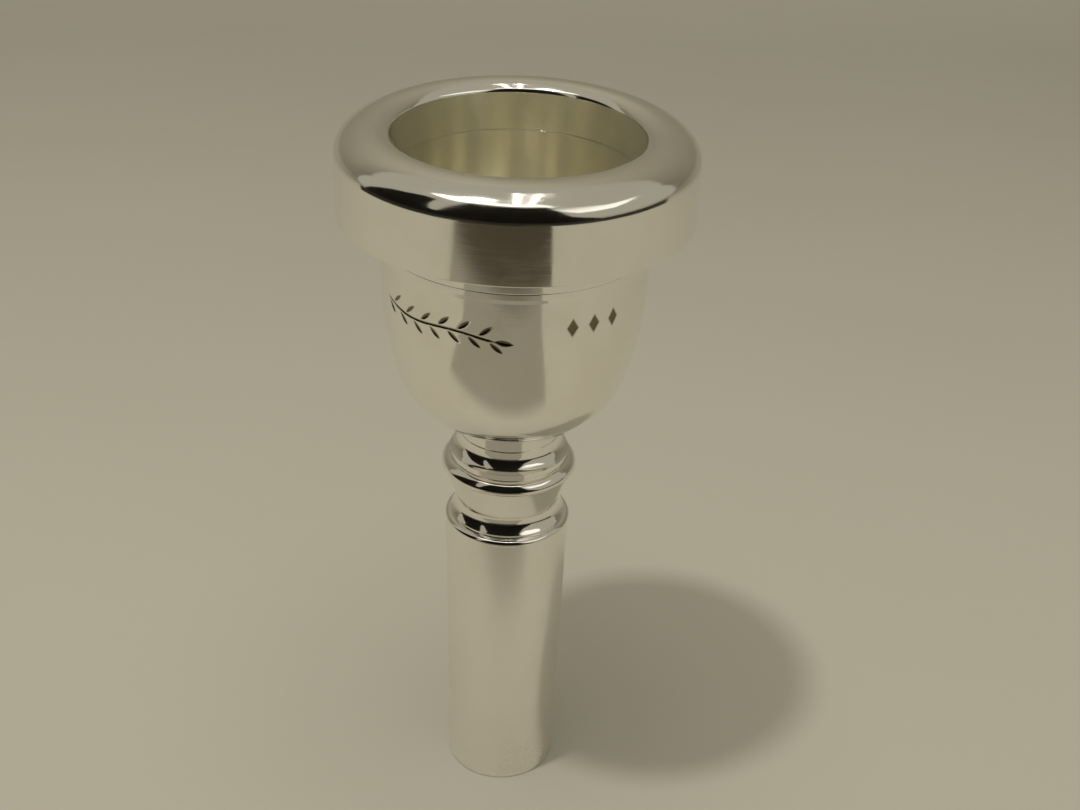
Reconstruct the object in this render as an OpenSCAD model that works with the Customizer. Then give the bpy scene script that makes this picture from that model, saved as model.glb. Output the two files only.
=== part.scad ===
// Trombone mouthpiece in three screwed pieces: a rim, a cup and a shank, with an O-ring in each joint.
// Millimetres. The origin is the centre of the shank's open end, and +Z runs along the bore to the rim.
// Every piece is turned, so each one is a closed outline of [radius, height] points revolved about Z.

/* [Rim] */
// Height of the whole mouthpiece, from the shank's end to the rim's crest
total_h = 82; // [81.8:0.1:83]
// Diameter across the rim's outer band
band_d = 37.5; // [37:0.1:39]
// Diameter of the mouth at the bite, the rim's inner edge
bite_d = 26; // [25.9:0.1:26.6]
// Diameter of the rim's crest, its highest ring
crest_d = 29.8; // [29.4:0.1:30.4]
// Radius that rounds the crown into the outer band
shoulder_round = 2.6; // [1.8:0.1:2.8]
// Radius that rounds the crown into the mouth
bite_round = 0.8; // [0.5:0.1:1]
// Height of the outer band's lower edge
band_bottom = 72.7; // [72.2:0.1:73]
// Outer diameter of the skirt below the band
skirt_d = 28.9; // [28.8:0.1:29.4]

/* [Cup] */
// Height of the seam between the rim and the cup
rim_seam = 69.9; // [69.7:0.1:70.1]
// Outer diameter of the cup's wall
cup_d = 28.4; // [28.2:0.1:28.7]
// Inner diameter of the bowl where its round bottom starts
bowl_d = 24.4; // [24:0.1:24.6]
// Diameter of the throat
throat_d = 6.9; // [6.5:0.1:7.1]

/* [Shank] */
// Height of the seam between the cup and the shank
shank_seam = 46.5; // [46.4:0.1:46.8]
// Outer diameter of the shank's open end
shank_end_d = 12.6; // [12.4:0.1:12.8]
// Outer diameter of the shank below its lower bead
shank_top_d = 14.1; // [14:0.1:14.2]
// Bore at the shank's open end
backbore_end_d = 10.2; // [9.6:0.1:10.6]
// Diameter of the neck's collar, under the cup
collar_d = 11.2; // [11.2:0.1:11.5]
// Diameter of the neck between its two beads
neck_d = 11.7; // [11.5:0.1:12]
// Diameter across the upper bead
upper_bead_d = 15.2; // [15:0.1:15.6]
// Diameter across the lower bead
lower_bead_d = 14.3; // [14.2:0.1:14.6]

/* [Screw joints] */
// Advance of both threads in one turn
pitch = 0.75; // [0.75, 0.7]
// Turns of thread on the cup's spigot
rim_turns = 6; // [5:1:6]
// Turns of thread on the shank's spigot
shank_turns = 6; // [5:1:6]
// Gap on the radius between a spigot and its socket
running_gap = 0.05; // [0.03:0.01:0.06]

/* [Hidden] */
$fn = 96;

thread_depth = 0.35;
seat_gap = 0.05;        // left above a spigot's end when the joint is done up
relief_h = 0.5;         // undercut between a pilot and its thread
edge_break = 0.1;       // small chamfer on the outer corners of a seam
ring_room = 0.75;       // height of the O-ring's recess
ring_section_d = 0.6;
ring_gap = 0.05;        // between an O-ring and the lip that it is fitted on

rim_pilot_r = 13.9;
rim_pilot_h = 1.4;
rim_thread_r = 13.6;
rim_lip_w = 0.5;        // wall between the mouth and the O-ring's recess
rim_spigot_h = rim_pilot_h + relief_h + rim_turns * pitch + 0.5;
rim_spigot_top = rim_seam + rim_spigot_h;

shank_pilot_r = 4.8;
shank_pilot_h = 3.2;
shank_thread_r = 4.6;
shank_lip_w = 0.45;     // wall between the throat and the O-ring's recess
shank_spigot_h = shank_pilot_h + relief_h + shank_turns * pitch + 0.5;
shank_spigot_top = shank_seam + shank_spigot_h;

band_r = band_d / 2;
bite_r = bite_d / 2;
crest_r = crest_d / 2;
skirt_r = skirt_d / 2;
cup_r = cup_d / 2;
bowl_r = bowl_d / 2;
throat_r = throat_d / 2;
collar_r = collar_d / 2;
neck_r = neck_d / 2;
bowl_wall_top_r = bite_r - 0.3;    // the bowl's radius at the inner seam
bowl_round_z = 69.2;               // where the bowl's wall meets its round bottom
cup_throat_r = throat_r + 0.1;     // a shade wider than the shank's bore, so no edge stands in the air's way
rim_lip_r = bowl_wall_top_r + rim_lip_w;
cup_lip_r = cup_throat_r + shank_lip_w;

// Points along an arc about [cx, cz], from angle a to angle b
function arc(cx, cz, r, a, b, steps = 12) =
    [for (i = [0 : steps]) let (t = a + (b - a) * i / steps) [cx + r * cos(t), cz + r * sin(t)]];

// Ridges of a thread, from the bottom up, between a crest radius and a root radius
function ridges(crest, root, z, turns) =
    [for (i = [0 : turns - 1], p = [[root, 0.1], [crest, 0.4], [crest, 0.6], [root, 0.9]])
        [p[0], z + (i + p[1]) * pitch]];

// Points from p to q along an arc of radius r that is hollow on the outer side
function hollow(p, q, r) =
    let (chord = q - p, outward = [-chord[1], chord[0]] / norm(chord),
         centre = (p + q) / 2 + outward * sqrt(r * r - chord * chord / 4), from = p - centre, to = q - centre)
    arc(centre[0], centre[1], r, atan2(from[1], from[0]), atan2(to[1], to[0]));

function backwards(points) = [for (i = [len(points) - 1 : -1 : 0]) points[i]];

// Outside of a threaded spigot, from its shoulder up to its end
function spigot_side(z, pilot_r, pilot_h, thread_r, turns) =
    let (thread_z = z + pilot_h + relief_h, root = thread_r - thread_depth)
    concat(
        [[pilot_r, z], [pilot_r, z + pilot_h - edge_break], [pilot_r - edge_break, z + pilot_h],
         [root, z + pilot_h]],
        ridges(thread_r, root, thread_z, turns),
        [[root, thread_z + turns * pitch + 0.1], [thread_r - 0.1, thread_z + turns * pitch + 0.25],
         [thread_r - 0.1, thread_z + turns * pitch + 0.4],
         [thread_r - 0.2, thread_z + turns * pitch + 0.5]]);

// Inside of the socket that takes it, from the mouth up to the lip that meets the spigot's end
function socket_side(z, pilot_r, pilot_h, thread_r, turns, lip_r) =
    let (thread_z = z + pilot_h + relief_h, crest = thread_r + running_gap, root = crest + thread_depth,
         lip_z = thread_z + turns * pitch + 0.5 + seat_gap)
    concat(
        [[pilot_r + running_gap, z], [pilot_r + running_gap, z + pilot_h + 0.2], [root, thread_z]],
        ridges(crest, root, thread_z, turns),
        [[root, lip_z + ring_room], [lip_r, lip_z + ring_room], [lip_r, lip_z]]);

// A crown between its crest and a side, as two tangent arcs that meet at the break angle.
// side is +1 for the outer side and -1 for the inner one.
break_angle = 50;
function crown(side_r, round_r, side) =
    let (crown_r = (abs(crest_r - side_r) - round_r) / cos(break_angle) + round_r,
         round_z = total_h - crown_r + (crown_r - round_r) * sin(break_angle),
         up = arc(crest_r, total_h - crown_r, crown_r, 90, 90 - side * (90 - break_angle)),
         down = arc(side_r - side * round_r, round_z, round_r,
                    side > 0 ? break_angle : 180 - break_angle, side > 0 ? 0 : 180))
    concat(up, [for (i = [1 : len(down) - 1]) down[i]]);

module turned(outline) {
    rotate_extrude() polygon(outline);
}

// An O-ring fitted on a lip, halfway up its recess above the end of a spigot
module o_ring(lip_r, spigot_top) {
    color("#1d1d1e")
        rotate_extrude()
            translate([lip_r + ring_gap + ring_section_d / 2, spigot_top + seat_gap + ring_room / 2])
                circle(d = ring_section_d);
}

module rim() {
    socket = socket_side(rim_seam, rim_pilot_r, rim_pilot_h, rim_thread_r, rim_turns, rim_lip_r);
    mouth = [[bowl_wall_top_r, rim_spigot_top + seat_gap]];
    cove_r = 1.2;       // under the band, where the skirt starts
    skirt = concat(
        arc(skirt_r + cove_r, band_bottom - cove_r, cove_r, 90, 180),
        [[skirt_r, rim_seam + edge_break], [skirt_r - edge_break, rim_seam]]);
    band = [[band_r, band_bottom + 0.2], [band_r - 0.2, band_bottom]];
    color("#dedbd0")
        turned(concat(socket, mouth, backwards(crown(bite_r, bite_round, -1)),
                      crown(band_r, shoulder_round, 1), band, skirt));
}

module cup() {
    // Outer wall: straight, then two tangent arcs down to the boss
    side_r = 39;
    side_z = 66.1;
    side_sweep = 17;
    heel_r = 9.2;
    heel_x = cup_r - side_r + (side_r - heel_r) * cos(side_sweep);
    heel_z = side_z - (side_r - heel_r) * sin(side_sweep);
    boss_angle = acos((collar_r + 0.25 - heel_x) / heel_r);
    boss_z = heel_z - heel_r * sin(boss_angle);
    outer = concat(
        [[skirt_r - 0.15 - edge_break, rim_seam], [skirt_r - 0.15, rim_seam - edge_break],
         [skirt_r - 0.15, rim_seam - 0.7], [cup_r, rim_seam - 1.1]],
        arc(cup_r - side_r, side_z, side_r, 0, -side_sweep),
        arc(heel_x, heel_z, heel_r, -side_sweep, -boss_angle, 24),
        [[collar_r, boss_z - 0.25], [collar_r, shank_seam + edge_break],
         [collar_r - edge_break, shank_seam]]);
    // Bowl: a round bottom that turns over into the throat
    entry_round = 1.6;
    entry_x = cup_throat_r + entry_round;
    entry_z = bowl_round_z - sqrt(pow(bowl_r + entry_round, 2) - pow(entry_x, 2));
    entry_angle = atan2(bowl_round_z - entry_z, entry_x);
    bowl = concat(
        [[cup_throat_r, shank_spigot_top + seat_gap]],
        arc(entry_x, entry_z, entry_round, 180, 180 - entry_angle, 8),
        arc(0, bowl_round_z, bowl_r, -entry_angle, 0, 24),
        [[bowl_wall_top_r, rim_spigot_top]]);
    socket = socket_side(shank_seam, shank_pilot_r, shank_pilot_h, shank_thread_r, shank_turns, cup_lip_r);
    spigot = spigot_side(rim_seam, rim_pilot_r, rim_pilot_h, rim_thread_r, rim_turns);
    color("#dcd9ce")
        turned(concat(socket, bowl, backwards(spigot), outer));
}

module shank() {
    // The neck, from the collar down: a cove and a bead, a waist, then a smaller cove and bead
    upper_cove_r = 1.8;
    upper_cove_z = 45.85;
    upper_lip_r = 6.65;
    bead_r = 1.3;
    bead_z = 42.2;
    waist_top = [upper_bead_d / 2 - 0.1, bead_z - 0.1];
    waist_r = 26;
    lower_cove_r = 2.4;
    lower_cove_z = 37.75;
    lower_lip_r = 6.5;
    small_bead_r = 0.55;
    small_bead_z = 35.15;
    bead_x = upper_bead_d / 2 - bead_r;
    small_bead_x = lower_bead_d / 2 - small_bead_r;
    function cove(r, z, cove_r, lip_r) =
        arc(r + cove_r, z, cove_r, 180, 360 - acos((lip_r - r - cove_r) / cove_r));
    neck = concat(
        [[collar_r - edge_break, shank_seam], [collar_r, shank_seam - edge_break]],
        cove(collar_r, upper_cove_z, upper_cove_r, upper_lip_r),
        arc(bead_x, bead_z, bead_r, acos((upper_lip_r - bead_x) / bead_r), 0),
        hollow(waist_top, [neck_r + 0.02, lower_cove_z + 0.1], waist_r),
        cove(neck_r, lower_cove_z, lower_cove_r, lower_lip_r),
        [[lower_lip_r, small_bead_z + small_bead_r]],
        arc(small_bead_x, small_bead_z, small_bead_r, 85, 0));
    tube = [[shank_top_d / 2, small_bead_z - 0.1], [shank_end_d / 2, 0.2], [shank_end_d / 2 - 0.15, 0]];
    // The backbore opens from the throat to the end, a little faster near the end
    throat_bottom_z = 47.5;
    bore_steps = 16;
    bore = [for (i = [0 : bore_steps]) let (t = i / bore_steps)
        [throat_r + (backbore_end_d / 2 - throat_r) * pow(1 - t, 1.15), throat_bottom_z * t]];
    spigot = spigot_side(shank_seam, shank_pilot_r, shank_pilot_h, shank_thread_r, shank_turns);
    color("#dad7cc")
        turned(concat(bore, [[throat_r, shank_spigot_top - 0.1], [throat_r + 0.1, shank_spigot_top]],
                      backwards(spigot), neck, tube));
}

module rim_o_ring() {
    o_ring(rim_lip_r, rim_spigot_top);
}

module shank_o_ring() {
    o_ring(cup_lip_r, shank_spigot_top);
}

shank();
shank_o_ring();
cup();
rim_o_ring();
rim();
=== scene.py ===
"""A trombone mouthpiece in three screwed pieces, turned in brass and silver-plated, with two O-rings.

Every piece is a lathe job: a closed outline of (radius, height) points in millimetres, with each corner
rounded, is revolved about Z. The two screw threads are true right-handed helices, and the cup's ornament is
cut into its wall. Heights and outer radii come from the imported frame.
"""
import math

import bpy
import numpy as np
from mathutils import Matrix, Vector


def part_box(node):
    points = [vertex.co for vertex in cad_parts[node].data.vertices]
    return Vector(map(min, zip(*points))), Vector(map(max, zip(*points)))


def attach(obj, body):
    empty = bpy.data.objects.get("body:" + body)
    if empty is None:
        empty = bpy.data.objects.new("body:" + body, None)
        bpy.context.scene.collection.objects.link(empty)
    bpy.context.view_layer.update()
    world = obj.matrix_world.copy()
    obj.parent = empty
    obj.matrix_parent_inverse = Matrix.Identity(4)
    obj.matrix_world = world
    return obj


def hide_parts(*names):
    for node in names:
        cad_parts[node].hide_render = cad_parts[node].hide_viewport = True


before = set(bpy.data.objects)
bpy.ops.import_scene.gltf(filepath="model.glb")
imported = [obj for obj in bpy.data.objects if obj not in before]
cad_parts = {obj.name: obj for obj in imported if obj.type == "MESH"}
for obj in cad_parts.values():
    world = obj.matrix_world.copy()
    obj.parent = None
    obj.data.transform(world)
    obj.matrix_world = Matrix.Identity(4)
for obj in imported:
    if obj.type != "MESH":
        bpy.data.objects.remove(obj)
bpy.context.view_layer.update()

MM = 0.001

# ---- Sizes, in millimetres -------------------------------------------------------------------------------


def node_box(node):
    low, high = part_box(node)
    return low / MM, high / MM


rim_low, rim_high = node_box("rim")
cup_low, cup_high = node_box("cup")
_, shank_high = node_box("shank")

TOTAL_H = rim_high.z
BAND_R = rim_high.x
RIM_SEAM = rim_low.z
RIM_SPIGOT_TOP = cup_high.z
CUP_LIP_R = cup_high.x                 # widest ring of the cup, just under the seam
SHANK_SEAM = cup_low.z
SHANK_SPIGOT_TOP = shank_high.z
BEAD_OUT_R = shank_high.x              # crest of the upper bead

BITE_R = 13.0
CREST_R = 14.9
SHOULDER_ROUND = 2.6
BITE_ROUND = 0.8
BREAK_ANGLE = 50
BAND_BOTTOM = 72.7
SKIRT_R = 14.45
CUP_R = 14.2
BOWL_R = 12.2
BOWL_ROUND_Z = 69.2
BOWL_TOP_R = BITE_R - 0.3
THROAT_R = 3.45
CUP_THROAT_R = THROAT_R + 0.1
COLLAR_R = 5.6
NECK_R = 5.85
LOWER_BEAD_R = 7.15
SHANK_TOP_R = 7.05
SHANK_END_R = 6.3
BACKBORE_END_R = 5.1
SATIN_TOP = 34.9                       # the shank's tube is satin up to here, and the neck is bright

PITCH = 0.75
THREAD_DEPTH = 0.35
THREAD_GAP = 0.05
RUN_OUT = 0.6                          # over which a thread fades away at each end
RELIEF_H = 0.5
SEAT_GAP = 0.05
RING_ROOM = 0.75
RIM_PILOT_R, RIM_PILOT_H, RIM_THREAD_R, RIM_LIP_W = 13.9, 1.4, 13.6, 0.5
SHANK_PILOT_R, SHANK_PILOT_H, SHANK_THREAD_R, SHANK_LIP_W = 4.8, 3.2, 4.6, 0.45
TURNS = 6

SEGMENTS = 192                         # round a turned piece
FINE_SEGMENTS = 768                    # the same, where it is engraved
ROWS_PER_TURN = 16                     # of a thread
EDGE = 0.06                            # rounding of a machined corner

# ---- Outlines --------------------------------------------------------------------------------------------


def arc(centre_r, centre_z, radius, start, end):
    """Points along an arc, with angles in degrees."""
    sweep = math.radians(end - start)
    steps = max(math.ceil(abs(sweep) * radius / 0.25), math.ceil(abs(end - start) / 6))
    angles = [math.radians(start) + sweep * i / steps for i in range(steps + 1)]
    return [(centre_r + radius * math.cos(a), centre_z + radius * math.sin(a)) for a in angles]


def rounded(corners):
    """Swaps each (r, z, radius) of a closed outline for an arc, and keeps each (r, z) as it is."""
    points = []
    for i, corner in enumerate(corners):
        here = Vector(corner[:2])
        if len(corner) == 2:
            points.append(here)
            continue
        back = (Vector(corners[i - 1][:2]) - here).normalized()
        ahead = (Vector(corners[(i + 1) % len(corners)][:2]) - here).normalized()
        turn = math.pi - back.angle(ahead)
        centre = here + (back + ahead).normalized() * corner[2] / math.cos(turn / 2)
        first = here + back * corner[2] * math.tan(turn / 2) - centre
        side = -math.copysign(1, back.x * ahead.y - back.y * ahead.x)
        steps = max(3, math.ceil(turn / math.radians(14)))
        for k in range(steps + 1):
            a = side * turn * k / steps
            points.append(centre + Vector((
                first.x * math.cos(a) - first.y * math.sin(a),
                first.x * math.sin(a) + first.y * math.cos(a))))
    return points


def held(points, reach=0.04, longest=2.0):
    """Adds points next to both ends of each long straight run, so that smooth shading stays flat along it."""
    out = []
    for a, b in zip(points, points[1:] + points[:1]):
        run = b - a
        out.append(a)
        if run.length < 0.3:
            continue
        cuts = [reach / run.length]
        pieces = math.ceil(run.length / longest)
        cuts += [k / pieces for k in range(1, pieces)]
        cuts += [1 - reach / run.length]
        out += [a + run * t for t in cuts]
    return out


def thread_rows(radius, z, up=True):
    """A column of points that a thread is cut into, a row for each step of the helix."""
    rows = TURNS * ROWS_PER_TURN
    column = [(radius, z + PITCH * i / ROWS_PER_TURN) for i in range(rows + 1)]
    return column if up else column[::-1]


def crown(side_r, round_r, side):
    """From the crest to a side, as two tangent arcs. side is 1 for the outer side and -1 for the mouth."""
    tilt = math.radians(BREAK_ANGLE)
    crown_r = (abs(CREST_R - side_r) - round_r) / math.cos(tilt) + round_r
    round_z = TOTAL_H - crown_r + (crown_r - round_r) * math.sin(tilt)
    flank = BREAK_ANGLE if side > 0 else 180 - BREAK_ANGLE
    top = arc(CREST_R, TOTAL_H - crown_r, crown_r, 90, flank)
    return top + arc(side_r - side * round_r, round_z, round_r, flank, 0 if side > 0 else 180)[1:]


def socket(z, pilot_r, pilot_h, thread_r, lip_r):
    """Inside of a socket, from its mouth up to the lip that meets the spigot's end."""
    thread_z = z + pilot_h + RELIEF_H
    root = thread_r + THREAD_GAP
    recess_r = root + THREAD_DEPTH
    lip_z = thread_z + TURNS * PITCH + 0.5 + SEAT_GAP
    bore = pilot_r + THREAD_GAP
    return (
        [(bore, z, EDGE), (bore, z + pilot_h + 0.15, 0.05), (root, thread_z - 0.02)]
        + thread_rows(root, thread_z)
        + [(root, lip_z - 0.3), (recess_r, lip_z - 0.1, 0.05), (recess_r, lip_z + RING_ROOM, 0.15),
           (lip_r, lip_z + RING_ROOM, 0.15), (lip_r, lip_z, 0.05)])


def spigot(z, pilot_r, pilot_h, thread_r):
    """Outside of a spigot, from its end down to its shoulder."""
    thread_z = z + pilot_h + RELIEF_H
    root = thread_r - THREAD_DEPTH
    top = thread_z + TURNS * PITCH + 0.5
    return (
        [(thread_r - 0.2, top, EDGE), (thread_r - 0.1, top - 0.12, 0.05), (thread_r - 0.1, top - 0.3, 0.05),
         (root, top - 0.45)]
        + thread_rows(root, thread_z, up=False)
        + [(root, z + pilot_h, 0.1), (pilot_r - 0.06, z + pilot_h, 0.05), (pilot_r, z + pilot_h - 0.1, 0.05),
           (pilot_r, z, 0.05)])


def rim_outline():
    cove_r = 1.2
    return (
        socket(RIM_SEAM, RIM_PILOT_R, RIM_PILOT_H, RIM_THREAD_R, BOWL_TOP_R + RIM_LIP_W)
        + [(BOWL_TOP_R, RIM_SPIGOT_TOP + SEAT_GAP, 0.03)]
        + crown(BITE_R, BITE_ROUND, -1)[::-1]
        + crown(BAND_R, SHOULDER_ROUND, 1)[1:]
        + [(BAND_R, BAND_BOTTOM, 0.14)]
        + [(SKIRT_R + cove_r + 0.5, BAND_BOTTOM)]
        + arc(SKIRT_R + cove_r, BAND_BOTTOM - cove_r, cove_r, 90, 180)
        + [(SKIRT_R, RIM_SEAM, 0.1)])


def cup_outline():
    side_r, side_z, side_sweep, heel_r = 39, 66.1, 17, 9.2
    heel_x = CUP_R - side_r + (side_r - heel_r) * math.cos(math.radians(side_sweep))
    heel_z = side_z - (side_r - heel_r) * math.sin(math.radians(side_sweep))
    boss_angle = math.degrees(math.acos((COLLAR_R + 0.25 - heel_x) / heel_r))
    boss_z = heel_z - heel_r * math.sin(math.radians(boss_angle))
    entry_round = 1.6
    entry_x = CUP_THROAT_R + entry_round
    entry_z = BOWL_ROUND_Z - math.sqrt((BOWL_R + entry_round) ** 2 - entry_x ** 2)
    entry_angle = math.degrees(math.atan2(BOWL_ROUND_Z - entry_z, entry_x))
    return (
        socket(SHANK_SEAM, SHANK_PILOT_R, SHANK_PILOT_H, SHANK_THREAD_R, CUP_THROAT_R + SHANK_LIP_W)
        + [(CUP_THROAT_R, SHANK_SPIGOT_TOP + SEAT_GAP, 0.08)]
        + arc(entry_x, entry_z, entry_round, 180, 180 - entry_angle)
        + arc(0, BOWL_ROUND_Z, BOWL_R, -entry_angle, 0)[1:]
        + [(BOWL_TOP_R, RIM_SPIGOT_TOP, 0.03)]
        + spigot(RIM_SEAM, RIM_PILOT_R, RIM_PILOT_H, RIM_THREAD_R)
        + [(CUP_LIP_R, RIM_SEAM, 0.1), (CUP_LIP_R, RIM_SEAM - 0.75, 0.2), (CUP_R, RIM_SEAM - 1.1, 0.3)]
        + arc(CUP_R - side_r, side_z, side_r, 0, -side_sweep)
        + arc(heel_x, heel_z, heel_r, -side_sweep, -boss_angle)[1:]
        + [(COLLAR_R, boss_z - 0.25, 0.12), (COLLAR_R, SHANK_SEAM, 0.1)])


def cove(r, z, radius, lip_r):
    """A hollow that starts upright at radius r and runs out to a crisp lip at lip_r."""
    points = arc(r + radius, z, radius, 180, 360 - math.degrees(math.acos((lip_r - r - radius) / radius)))
    return points[:-1] + [(*points[-1], 0.03)]


def hollow(p, q, radius):
    """Points from p to q along an arc that is hollow on the outer side."""
    chord = q - p
    outward = Vector((-chord.y, chord.x)).normalized()
    centre = (p + q) / 2 + outward * math.sqrt(radius ** 2 - chord.length_squared / 4)
    start, end = (math.degrees(math.atan2(v.y - centre.y, v.x - centre.x)) for v in (p, q))
    return arc(centre.x, centre.y, radius, start, end)


def shank_outline():
    upper_lip_r, lower_lip_r = 6.65, 6.5
    bead_r, bead_z = 1.3, 42.2
    small_bead_r, small_bead_z = 0.55, 35.15
    bead_x, small_bead_x = BEAD_OUT_R - bead_r, LOWER_BEAD_R - small_bead_r
    waist_top, waist_r = Vector((BEAD_OUT_R - 0.1, bead_z - 0.1)), 26
    upper_cove_r, upper_cove_z = 1.8, 45.85
    lower_cove_r, lower_cove_z = 2.4, 37.75
    tube_step = 34.98
    throat_z, bore_steps = 47.5, 40
    bore = []
    for i in range(1, bore_steps + 1):
        t = i / bore_steps
        bore.append((THROAT_R + (BACKBORE_END_R - THROAT_R) * (1 - t) ** 1.15, throat_z * t))
    return (
        [(BACKBORE_END_R, 0, 0.12)]
        + bore
        + [(THROAT_R, SHANK_SPIGOT_TOP, 0.1)]
        + spigot(SHANK_SEAM, SHANK_PILOT_R, SHANK_PILOT_H, SHANK_THREAD_R)
        + [(COLLAR_R, SHANK_SEAM, 0.1)]
        + cove(COLLAR_R, upper_cove_z, upper_cove_r, upper_lip_r)
        + arc(bead_x, bead_z, bead_r, math.degrees(math.acos((upper_lip_r - bead_x) / bead_r)), 0)
        + hollow(waist_top, Vector((NECK_R + 0.02, lower_cove_z + 0.1)), waist_r)
        + cove(NECK_R, lower_cove_z, lower_cove_r, lower_lip_r)
        + [(lower_lip_r, small_bead_z + small_bead_r, 0.05)]
        + arc(small_bead_x, small_bead_z, small_bead_r, 85, 0)
        + [(LOWER_BEAD_R, small_bead_z - 0.1, 0.03)]
        + [(SHANK_TOP_R, tube_step), (SHANK_END_R, 0, 0.14)])


# ---- Shapes cut into a turned surface --------------------------------------------------------------------


def smooth(t):
    t = np.clip(t, 0, 1)
    return t * t * (3 - 2 * t)


def thread_relief(r, z, angle, z0, root, sign):
    """How far the thread's surface stands above its column: a ridge out of a spigot (sign 1), or into a
    socket (sign -1). Both follow the same right-handed helix, so they mesh with THREAD_GAP between them."""
    z1 = z0 + TURNS * PITCH
    cut = (np.abs(r - root) < 1e-6) & (z >= z0 - 1e-6) & (z <= z1 + 1e-6)
    phase = ((z - z0) / PITCH - angle / (2 * math.pi)) % 1
    ridge = smooth((0.4 - np.abs(phase - 0.5)) / 0.3)
    fade = smooth((z - z0) / RUN_OUT) * smooth((z1 - z) / RUN_OUT)
    height = ridge if sign > 0 else -(1 - ridge)
    return np.where(cut, THREAD_DEPTH * height * fade, 0)


def leaf_cut(u, v, centre_u, centre_v, tilt, length, width):
    """Depth, from 0 to 1, of a leaf cut with a V-shaped graver."""
    a = math.radians(tilt)
    s = ((u - centre_u) * math.cos(a) + (v - centre_v) * math.sin(a)) / (length / 2)
    t = -(u - centre_u) * math.sin(a) + (v - centre_v) * math.cos(a)
    half = np.maximum(width / 2 * (1 - s * s), 1e-4)
    return np.where(np.abs(s) < 1, np.clip(1 - np.abs(t) / half, 0, 1) * np.sqrt(np.clip(1 - s * s, 0, 1)), 0)


SPRIG_ANGLE, SPRIG_Z = 234, 65.0
DIAMONDS_ANGLE, DIAMONDS_Z = 305, 65.7
ENGRAVING_DEPTH = 0.1


def engraving(r, z, angle):
    """The ornament on the cup: a sprig of leaves on one side, and three diamonds on the other."""
    wall = (r > CUP_R - 1.5) & (z < RIM_SEAM - 1.3) & (z > 58)
    slope, wave, wave_pitch, half_length = -0.05, 0.3, 0.5, 7.6
    stem_half_w, stem_depth, stem_fade = 0.17, 0.8, 1.2
    leaves, leaf_step, leaf_length, leaf_width = 13, 1.12, 1.9, 0.6
    diamond_step, diamond_half_w, diamond_half_h = 2.5, 0.8, 1.3

    def stem_at(along):
        return slope * along + wave * np.sin(along * wave_pitch)

    u, v = CUP_R * (angle - math.radians(SPRIG_ANGLE)), z - SPRIG_Z
    stem = np.clip(1 - np.abs(v - stem_at(u)) / stem_half_w, 0, 1)
    depth = stem_depth * stem * smooth((half_length - np.abs(u)) / stem_fade)
    for i in range(-(leaves // 2), leaves // 2 + 1):
        side = 1 if i % 2 else -1
        at = i * leaf_step
        leaf = leaf_cut(u, v, at + 0.6, stem_at(at) + side * 0.8, side * 40, leaf_length, leaf_width)
        depth = np.maximum(depth, leaf)
    depth = np.maximum(depth, leaf_cut(u, v, half_length + 0.5, stem_at(half_length), -8, 2.0, 0.8))
    u, v = CUP_R * (angle - math.radians(DIAMONDS_ANGLE)), z - DIAMONDS_Z
    for i in (-1, 0, 1):
        off = np.abs(u - i * diamond_step) / diamond_half_w + np.abs(v) / diamond_half_h
        depth = np.maximum(depth, np.clip((1 - off) * 1.6, 0, 1))
    return np.where(wall, -ENGRAVING_DEPTH * depth, 0)


# ---- Making the pieces -----------------------------------------------------------------------------------


def dense_angles(spans):
    """Angles round a piece, in radians, closer together inside the (from, to) spans, in degrees."""
    angles = []
    a = 0.0
    while a < 360 - 1e-6:
        angles.append(math.radians(a))
        fine = any(low <= a < high for low, high in spans)
        a += 360 / (FINE_SEGMENTS if fine else SEGMENTS)
    return np.array(angles)


def turned(name, outline, body, node, reliefs=(), spans=(), fine_rows=()):
    """Revolves an outline, and shows it in place of its CAD node."""
    points = held(rounded(outline))
    points = [p for i, p in enumerate(points) if (p - points[i - 1]).length > 1e-5]
    for low, high, inner_r, step in fine_rows:
        points = refine(points, low, high, inner_r, step)
    angles = dense_angles(spans)
    r = np.array([p.x for p in points])[:, None] + 0 * angles[None, :]
    z = np.array([p.y for p in points])[:, None] + 0 * angles[None, :]
    a = 0 * r + angles[None, :]
    shaped = r + sum(relief(r, z, a) for relief in reliefs)
    co = np.stack([shaped * np.cos(a), shaped * np.sin(a), z], axis=2).reshape(-1, 3) * MM
    rows, columns = r.shape
    area = sum(p.x * q.y - q.x * p.y for p, q in zip(points, points[1:] + points[:1]))
    i, j = np.meshgrid(np.arange(rows), np.arange(columns), indexing="ij")
    i1, j1 = (i + 1) % rows, (j + 1) % columns
    quads = np.stack([i * columns + j, i * columns + j1, i1 * columns + j1, i1 * columns + j], axis=2)
    quads = quads.reshape(-1, 4)
    if area < 0:
        quads = quads[:, ::-1]
    mesh = bpy.data.meshes.new(name)
    mesh.from_pydata(co.tolist(), [], quads.tolist())
    mesh.shade_smooth()
    if engraving in reliefs:
        grime = mesh.attributes.new("grime", "FLOAT", "POINT")
        grime.data.foreach_set("value", (-engraving(r, z, a) / ENGRAVING_DEPTH).reshape(-1))
    piece = bpy.data.objects.new(name, mesh)
    bpy.context.scene.collection.objects.link(piece)
    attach(piece, body)
    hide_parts(node)
    return piece


def refine(points, low, high, inner_r, step):
    """Splits the runs between two heights, outside a radius, into short steps."""
    out = []
    for a, b in zip(points, points[1:] + points[:1]):
        out.append(a)
        inside = min(a.y, b.y) < high and max(a.y, b.y) > low and min(a.x, b.x) > inner_r
        pieces = math.ceil((b - a).length / step) if inside else 1
        out += [a.lerp(b, k / pieces) for k in range(1, pieces)]
    return out


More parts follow.
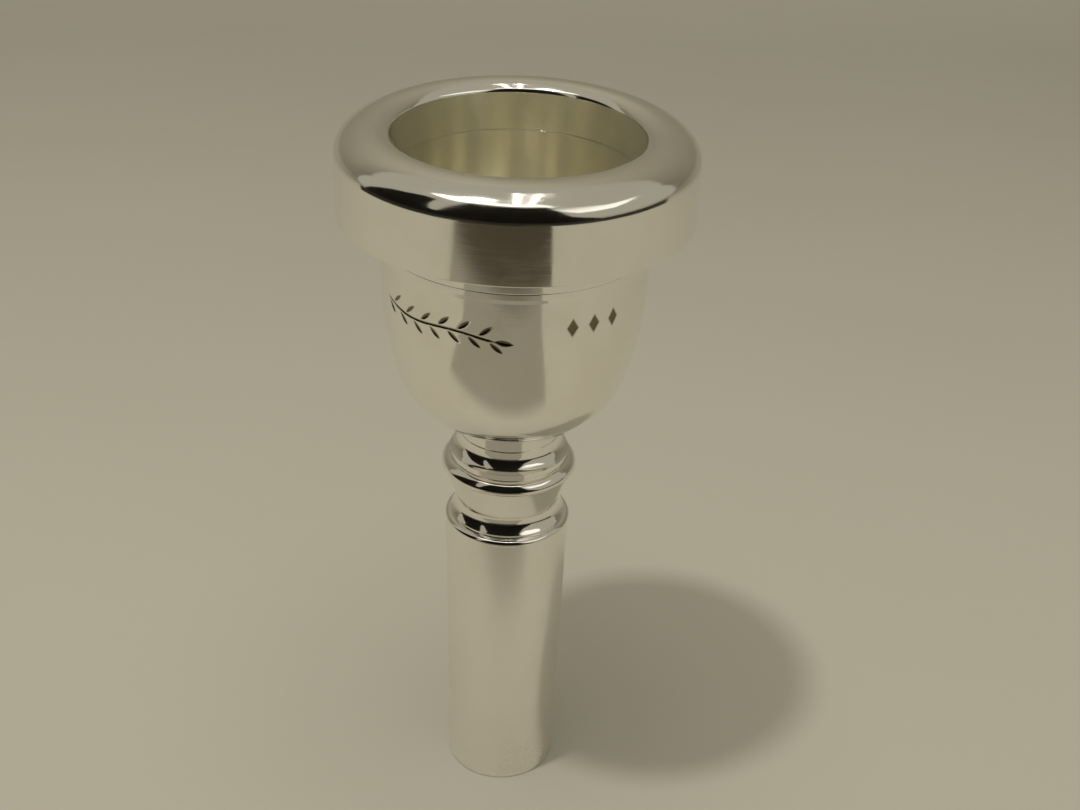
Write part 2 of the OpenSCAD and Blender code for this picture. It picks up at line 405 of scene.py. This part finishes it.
def line_bowl(piece):
    """Gives the mouth and the bowl their own finish, which the lips and the brush have dulled."""
    piece.data.materials.append(silver_bowl)
    mouth_top = TOTAL_H - 1.1
    for face in piece.data.polygons:
        radius = math.hypot(face.center.x, face.center.y) / MM
        height = face.center.z / MM
        in_mouth = RIM_SPIGOT_TOP < height < mouth_top and radius < BITE_R + 0.03
        in_bowl = SHANK_SPIGOT_TOP + 1 < height < RIM_SPIGOT_TOP and radius < BOWL_TOP_R
        outside = height < RIM_SEAM and radius > bowl_radius(height) + 0.4
        if (in_mouth or in_bowl) and not outside:
            face.material_index = 1


def bowl_radius(height):
    drop = BOWL_ROUND_Z - height
    return BOWL_TOP_R if drop < 0 else math.sqrt(max(BOWL_R ** 2 - drop ** 2, 0))


def o_ring(name, body, node):
    """A moulded ring, with the fine parting line of its mould on the outside and the inside."""
    low, high = node_box(node)
    section_r = (high.z - low.z) / 2
    ring_r, ring_z = high.x - section_r, (low.z + high.z) / 2
    steps, flash_h, flash_from = 48, 0.012, 0.985
    outline = []
    for k in range(steps):
        a = 2 * math.pi * k / steps
        flash = flash_h * max(0, abs(math.cos(a)) - flash_from) / (1 - flash_from)
        radius = section_r - flash_h + flash
        outline.append((ring_r + radius * math.cos(a), ring_z + radius * math.sin(a)))
    return turned(name, outline, body, node)


# ---- Materials -------------------------------------------------------------------------------------------


class Nodes:
    """Short calls for building a node tree."""

    def __init__(self, name):
        self.material = bpy.data.materials.new(name)
        self.material.use_nodes = True
        self.tree = self.material.node_tree
        self.shader = self.tree.nodes["Principled BSDF"]

    def add(self, kind, inputs=None, **settings):
        node = self.tree.nodes.new(kind)
        for key, value in settings.items():
            setattr(node, key, value)
        for key, value in (inputs or {}).items():
            self.put(node, key, value)
        return node

    def put(self, node, key, value):
        if isinstance(value, bpy.types.NodeSocket):
            self.tree.links.new(value, node.inputs[key])
        else:
            node.inputs[key].default_value = value

    def maths(self, operation, a, b):
        return self.add("ShaderNodeMath", {0: a, 1: b}, operation=operation).outputs[0]

    def noise(self, vector, scale, detail, roughness):
        inputs = {"Vector": vector, "Scale": scale, "Detail": detail, "Roughness": roughness}
        return self.add("ShaderNodeTexNoise", inputs).outputs["Fac"]

    def span(self, value, low, high, to_low=0.0, to_high=1.0):
        inputs = {0: value, 1: low, 2: high, 3: to_low, 4: to_high}
        return self.add("ShaderNodeMapRange", inputs, interpolation_type="SMOOTHSTEP").outputs[0]

    def mix(self, factor, a, b):
        node = self.add("ShaderNodeMix", data_type="RGBA")
        self.put(node, 0, factor)
        self.put(node, 6, a)
        self.put(node, 7, b)
        return node.outputs[2]

    def scaled(self, vector, scale):
        return self.add("ShaderNodeVectorMath", {0: vector, 1: scale}, operation="MULTIPLY").outputs[0]


FRESH, WORN = (0.93, 0.91, 0.855, 1), (0.84, 0.8, 0.7, 1)      # silver, clean and tarnished
GRIME = (0.2, 0.165, 0.1, 1)          # what has settled in the engraving
FINE_LINES, BROAD_LINES = 9000, 1600  # polishing lines, as noise scales to the metre
MARKS, FILM, GRAIN = 230, 60, 2600    # handling marks, tarnish and grain, likewise
WRAP = 0.0006                         # metres, of the small ring of noise that a line follows round the piece
FINISH_HEIGHT = 0.00002               # metres, of the relief of a finish
BRUSHED = 0.9                         # how far the brush stretches a highlight
QUARTER_TURN = 0.25                   # turns the stretched highlight upright
BRIGHT_SHARE = 0.35                   # roughness left where a satin piece is polished bright


def silver(name, polish, satin, tarnish_from, tarnish_to, tint=(1, 1, 1), metallic=1.0,
           brushed=False, relief=0.05, bright_above=None):
    """Silver plate: fine polishing lines round the piece, handling marks and a breath of tarnish.

    polish and satin are the least and the greatest roughness. tarnish_from and tarnish_to say how much of the
    worn colour shows, where the film is thin and where it is thick. relief is the strength of the lines. A
    brushed surface draws its highlights out upright. Above the height bright_above, in metres, the piece is
    polished bright.
    """
    n = Nodes(name)
    place = n.add("ShaderNodeTexCoord").outputs["Object"]
    parts = n.add("ShaderNodeSeparateXYZ", {0: place})
    flat = n.scaled(place, (1, 1, 0))
    round_dir = n.add("ShaderNodeVectorMath", {0: flat}, operation="NORMALIZE").outputs[0]
    height = n.add("ShaderNodeCombineXYZ", {2: parts.outputs[2]}).outputs[0]
    wrapped = n.add("ShaderNodeVectorMath", {0: n.scaled(round_dir, (WRAP, WRAP, 0)), 1: height},
                    operation="ADD").outputs[0]
    lines = n.noise(wrapped, FINE_LINES, 4, 0.6)
    broad_lines = n.noise(wrapped, BROAD_LINES, 3, 0.5)
    marks = n.noise(place, MARKS, 5, 0.62)
    film = n.noise(place, FILM, 3, 0.55)
    grain = n.noise(place, GRAIN, 2, 0.5)
    rubbed = n.span(marks, 0.3, 0.75)
    roughness = n.maths("ADD", n.span(rubbed, 0, 1, polish, satin), n.span(lines, 0.35, 0.75, 0, 0.05))
    roughness = n.maths("ADD", roughness, n.span(film, 0.5, 0.72, 0, 0.06))
    if bright_above is not None:
        satin_below = n.span(parts.outputs[2], bright_above, bright_above + 0.0003, 1.0, BRIGHT_SHARE)
        roughness = n.maths("MULTIPLY", roughness, satin_below)
    n.put(n.shader, "Roughness", roughness)
    tarnish = n.span(n.maths("ADD", n.maths("MULTIPLY", film, 0.6), n.maths("MULTIPLY", marks, 0.4)),
                     0.4, 0.66, tarnish_from, tarnish_to)
    grime = n.add("ShaderNodeAttribute", attribute_name="grime").outputs["Fac"]
    plate = n.scaled(n.mix(tarnish, FRESH, WORN), tint)
    n.put(n.shader, "Base Color", n.mix(n.span(grime, 0.05, 0.6), plate, GRIME))
    n.shader.inputs["Metallic"].default_value = metallic
    if brushed:
        n.shader.inputs["Anisotropic"].default_value = BRUSHED
        n.shader.inputs["Anisotropic Rotation"].default_value = QUARTER_TURN
        tangent = n.add("ShaderNodeTangent", direction_type="RADIAL", axis="Z")
        n.put(n.shader, "Tangent", tangent.outputs[0])
    bump = n.maths("ADD", n.maths("MULTIPLY", lines, 0.5), n.maths("MULTIPLY", broad_lines, 0.7))
    bump = n.maths("ADD", bump, n.maths("MULTIPLY", grain, 0.35))
    normal = n.add("ShaderNodeBump", {"Height": bump, "Strength": relief, "Distance": FINISH_HEIGHT})
    n.put(n.shader, "Normal", normal.outputs[0])
    return n.material


def rubber():
    """Matt black nitrile with a little dust."""
    n = Nodes("o_ring_rubber")
    place = n.add("ShaderNodeTexCoord").outputs["Object"]
    dust = n.span(n.noise(place, 900, 5, 0.6), 0.45, 0.75)
    n.put(n.shader, "Base Color", n.mix(dust, (0.012, 0.012, 0.013, 1), (0.045, 0.044, 0.043, 1)))
    n.put(n.shader, "Roughness", n.span(dust, 0, 1, 0.45, 0.68))
    grain = n.noise(place, 6000, 3, 0.6)
    normal = n.add("ShaderNodeBump", {"Height": grain, "Strength": 0.3, "Distance": FINISH_HEIGHT})
    n.put(n.shader, "Normal", normal.outputs[0])
    return n.material


def plain(name, colour, roughness, mottle):
    """A painted surface of one colour, very faintly uneven."""
    n = Nodes(name)
    place = n.add("ShaderNodeTexCoord").outputs["Object"]
    darker = tuple(c * (1 - mottle) for c in colour[:3]) + (1,)
    n.put(n.shader, "Base Color", n.mix(n.noise(place, 14, 4, 0.5), darker, colour))
    n.shader.inputs["Roughness"].default_value = roughness
    return n.material


# ---- The pieces ------------------------------------------------------------------------------------------

RIM_THREAD_Z = RIM_SEAM + RIM_PILOT_H + RELIEF_H
SHANK_THREAD_Z = SHANK_SEAM + SHANK_PILOT_H + RELIEF_H


def male(z0, thread_r):
    return lambda r, z, a: thread_relief(r, z, a, z0, thread_r - THREAD_DEPTH, 1)


def female(z0, thread_r):
    return lambda r, z, a: thread_relief(r, z, a, z0, thread_r + THREAD_GAP, -1)


silver_rim = silver("silver_rim", 0.06, 0.12, 0.0, 0.35)
silver_cup = silver("silver_cup", 0.05, 0.13, 0.05, 0.5)
silver_shank = silver("silver_shank", 0.2, 0.23, 0.0, 0.3, relief=0.015, bright_above=SATIN_TOP * MM)
silver_bowl = silver("silver_bowl", 0.13, 0.2, 0.1, 0.5, tint=(0.96, 0.955, 0.85), metallic=0.87,
                     brushed=True)
black_rubber = rubber()

pieces = {
    "rim_shell": (
        turned("rim_shell", rim_outline(), "rim", "rim",
               [female(RIM_THREAD_Z, RIM_THREAD_R)]), silver_rim),
    "cup_shell": (
        turned("cup_shell", cup_outline(), "cup", "cup",
               [male(RIM_THREAD_Z, RIM_THREAD_R), female(SHANK_THREAD_Z, SHANK_THREAD_R), engraving],
               spans=[(198, 272), (290, 322)], fine_rows=[(61.5, 67.6, CUP_R - 1.5, 0.11)]), silver_cup),
    "shank_tube": (
        turned("shank_tube", shank_outline(), "shank", "shank",
               [male(SHANK_THREAD_Z, SHANK_THREAD_R)]), silver_shank),
    "rim_joint_ring": (o_ring("rim_joint_ring", "rim_seal", "rim_o_ring"), black_rubber),
    "shank_joint_ring": (o_ring("shank_joint_ring", "shank_seal", "shank_o_ring"), black_rubber),
}
for piece, material in pieces.values():
    piece.data.materials.append(material)
for name in ("rim_shell", "cup_shell"):
    line_bowl(pieces[name][0])

# ---- Camera, floor and light -----------------------------------------------------------------------------

CAMERA_AT = Vector((0, -0.15423, 0.13804))                     # metres
CAMERA_YAW, CAMERA_PITCH, CAMERA_ROLL = 1.224, 29.878, 2.359   # degrees: turned right, tilted down, rolled
CAMERA_LENS, SENSOR_W = 53.33, 36                              # millimetres


def add_camera():
    data = bpy.data.cameras.new("camera")
    data.lens = CAMERA_LENS
    data.sensor_width = SENSOR_W
    data.clip_start = 0.005
    camera = bpy.data.objects.new("camera", data)
    bpy.context.scene.collection.objects.link(camera)
    yaw, pitch, roll = (math.radians(a) for a in (CAMERA_YAW, CAMERA_PITCH, CAMERA_ROLL))
    turn = (Matrix.Rotation(-yaw, 4, "Z") @ Matrix.Rotation(math.pi / 2 - pitch, 4, "X")
            @ Matrix.Rotation(roll, 4, "Z"))
    camera.matrix_world = Matrix.Translation(CAMERA_AT) @ turn
    bpy.context.scene.camera = camera


def add_card(name, corners, material, seen=False):
    """A flat or folded sheet of the studio. Unless it is seen, it shows only in the metal's reflections."""
    mesh = bpy.data.meshes.new(name)
    count = len(corners) // 2
    faces = [(2 * i, 2 * i + 1, 2 * i + 3, 2 * i + 2) for i in range(count - 1)]
    mesh.from_pydata(corners, [], faces)
    mesh.shade_smooth()
    card = bpy.data.objects.new(name, mesh)
    bpy.context.scene.collection.objects.link(card)
    mesh.materials.append(material)
    card.visible_camera = seen
    card.visible_shadow = seen
    card.visible_diffuse = seen
    return card


FLOOR_BACK = 0.3                                               # metres, where it bends up


def add_sweep():
    """The floor, which curves up into a backdrop well behind the object."""
    half, front, bend_r, bend_steps, top = 1.2, -1.2, 0.12, 12, 0.75
    path = [(front, 0), (-0.3, 0), (FLOOR_BACK, 0)]
    for k in range(1, bend_steps + 1):
        a = math.pi / 2 * k / bend_steps
        path.append((FLOOR_BACK + bend_r * math.sin(a), bend_r * (1 - math.cos(a))))
    path.append((FLOOR_BACK + bend_r, top))
    corners = [(x, y, z) for y, z in path for x in (-half, half)]
    add_card("floor", corners, floor_paint(), seen=True)


def add_light(name, at, target, size, power, colour, seen=True):
    """A round lamp that faces target. Unless it is seen, the metal doesn't show it."""
    data = bpy.data.lights.new(name, "AREA")
    data.shape = "DISK"
    data.size = size
    data.energy = power
    data.color = colour
    light = bpy.data.objects.new(name, data)
    bpy.context.scene.collection.objects.link(light)
    aim = (Vector(target) - Vector(at)).to_track_quat("-Z", "Y")
    light.matrix_world = Matrix.Translation(at) @ aim.to_matrix().to_4x4()
    light.visible_glossy = seen


def add_world():
    """Soft light from all round, as in a room with warm walls."""
    world = bpy.data.worlds.new("room")
    world.use_nodes = True
    background = world.node_tree.nodes["Background"]
    background.inputs["Color"].default_value = (1.0, 0.93, 0.76, 1)
    background.inputs["Strength"].default_value = 0.36
    bpy.context.scene.world = world


CARD_LIFT = 0.0005                     # metres between the floor and a card that lies on it
STRIP_HALF_W, STRIP_HEIGHT = 0.008, 1.2  # metres, of the two strip lights overhead


def dome(radius, azimuths, low, high, columns=64):
    """Corners of a card that bends over the object, on a sphere about it. low and high are the elevations of
    its edges at the azimuths. All are in degrees, and azimuth 0 is straight in front."""
    corners = []
    for azimuth in np.linspace(azimuths[0], azimuths[-1], columns):
        a = math.radians(azimuth)
        for edge in (low, high):
            e = math.radians(np.interp(azimuth, azimuths, edge))
            flat = radius * math.cos(e)
            corners.append((flat * math.sin(a), -flat * math.cos(a), radius * math.sin(e)))
    return corners


def floor_ring(inner, outer, start, end, steps=32):
    """Corners of a card that lies on the floor, round the front of the object."""
    corners = []
    for i in range(steps + 1):
        a = math.radians(start + (end - start) * i / steps)
        for radius in (inner, outer):
            corners.append((radius * math.sin(a), -radius * math.cos(a), CARD_LIFT))
    return corners


def glow(name, colour, strength, fade=None):
    """A lit card, which can fade out between the two elevations of fade, in degrees."""
    n = Nodes(name)
    n.shader.inputs["Base Color"].default_value = (0, 0, 0, 1)
    n.shader.inputs["Emission Color"].default_value = colour
    n.shader.inputs["Emission Strength"].default_value = strength
    if fade:
        place = n.add("ShaderNodeTexCoord").outputs["Object"]
        outward = n.add("ShaderNodeVectorMath", {0: place}, operation="NORMALIZE").outputs[0]
        sine = n.add("ShaderNodeSeparateXYZ", {0: outward}).outputs[2]
        low, high = (math.sin(math.radians(e)) for e in fade)
        n.put(n.shader, "Alpha", n.span(sine, low, high, 1.0, 0.0))
    return n.material


def floor_paint():
    """Pale paint, which is a little darker towards the backdrop."""
    n = Nodes("floor_paint")
    place = n.add("ShaderNodeTexCoord").outputs["Object"]
    back = n.span(n.add("ShaderNodeSeparateXYZ", {0: place}).outputs[1], 0.0, FLOOR_BACK)
    pale = n.mix(back, (0.5, 0.48, 0.405, 1), (0.38, 0.362, 0.305, 1))
    n.put(n.shader, "Base Color", n.mix(n.noise(place, 14, 4, 0.5), pale, n.mix(0.05, pale, (1, 1, 1, 1))))
    n.shader.inputs["Roughness"].default_value = 0.6
    return n.material


def painted_floor_shadow():
    """A painted shadow on the floor in front, the shadow of the camera and the hand that holds it, which
    thins out to a half shadow towards the object.
    """
    n = Nodes("painted_shadow_on_floor")
    place = n.add("ShaderNodeTexCoord").outputs["Object"]
    towards = n.add("ShaderNodeSeparateXYZ", {0: place}).outputs[1]
    # the colour of the painted shadow
    n.put(n.shader, "Base Color", (0.055, 0.042, 0.024, 1))
    n.shader.inputs["Roughness"].default_value = 0.9
    # the painted shadow is full far out, turns to a half shadow nearer the object, and stops just short of it
    thinner = n.span(towards, -0.172, -0.142, 1.0, 0.42)
    near_edge = n.span(towards, -0.05, -0.034, 1.0, 0.0)
    n.put(n.shader, "Alpha", n.maths("MULTIPLY", thinner, near_edge))
    return n.material


add_camera()
add_sweep()
dark = plain("dark_cloth", (0.012, 0.01, 0.008, 1), 0.9, 0.3)
add_card("dark_front", dome(0.6, (-100, -84, -70, -58, -52, -46, -38, 24, 32, 50), (0,) * 10,
                            (2, 36, 50, 50, 14, 14, 60, 58, 20, 2)), dark)
add_card("dark_ring", floor_ring(0.25, 0.6, -105, 100), dark)
# dark_low: a painted shadow of the camera and hand on the floor in front, seen only in the metal's
# reflections
add_card("dark_low", [(-0.19, -0.32, CARD_LIFT), (0.11, -0.32, CARD_LIFT), (-0.06, -0.034, CARD_LIFT),
                      (0.028, -0.034, CARD_LIFT)], painted_floor_shadow())
strip_colour = (1, 0.96, 0.88, 1)
add_card("bright_left", dome(0.62, (-80, -50, -30, 22, 30), (60, 58, 63, 62, 56), (66, 76, 77, 77, 62)),
         glow("bright_left", strip_colour, 1.7, (64, 77)))
add_card("bright_right", dome(0.62, (24, 38, 62, 84), (50, 30, 28, 38), (62, 54, 42, 40)),
         glow("bright_right", strip_colour, 1.1, (36, 58)))
for name, x in (("tube_left", 0.0), ("tube_right", 0.12)):
    strip = [(x + side * STRIP_HALF_W, y, STRIP_HEIGHT) for y in (-0.6, 0.25) for side in (-1, 1)]
    add_card(name, strip, glow(name, strip_colour, 9))
add_light("key", at=(-0.21, -0.165, 0.88), target=(0, 0, 0.04), size=0.06, power=2.4,
          colour=(1.0, 0.96, 0.87))
add_light("ceiling", at=(0.0, -0.1, 1.2), target=(0, 0, 0), size=0.9, power=3.4,
          colour=(1.0, 0.96, 0.88), seen=False)
add_world()
bpy.context.scene.view_settings.view_transform = "Standard"
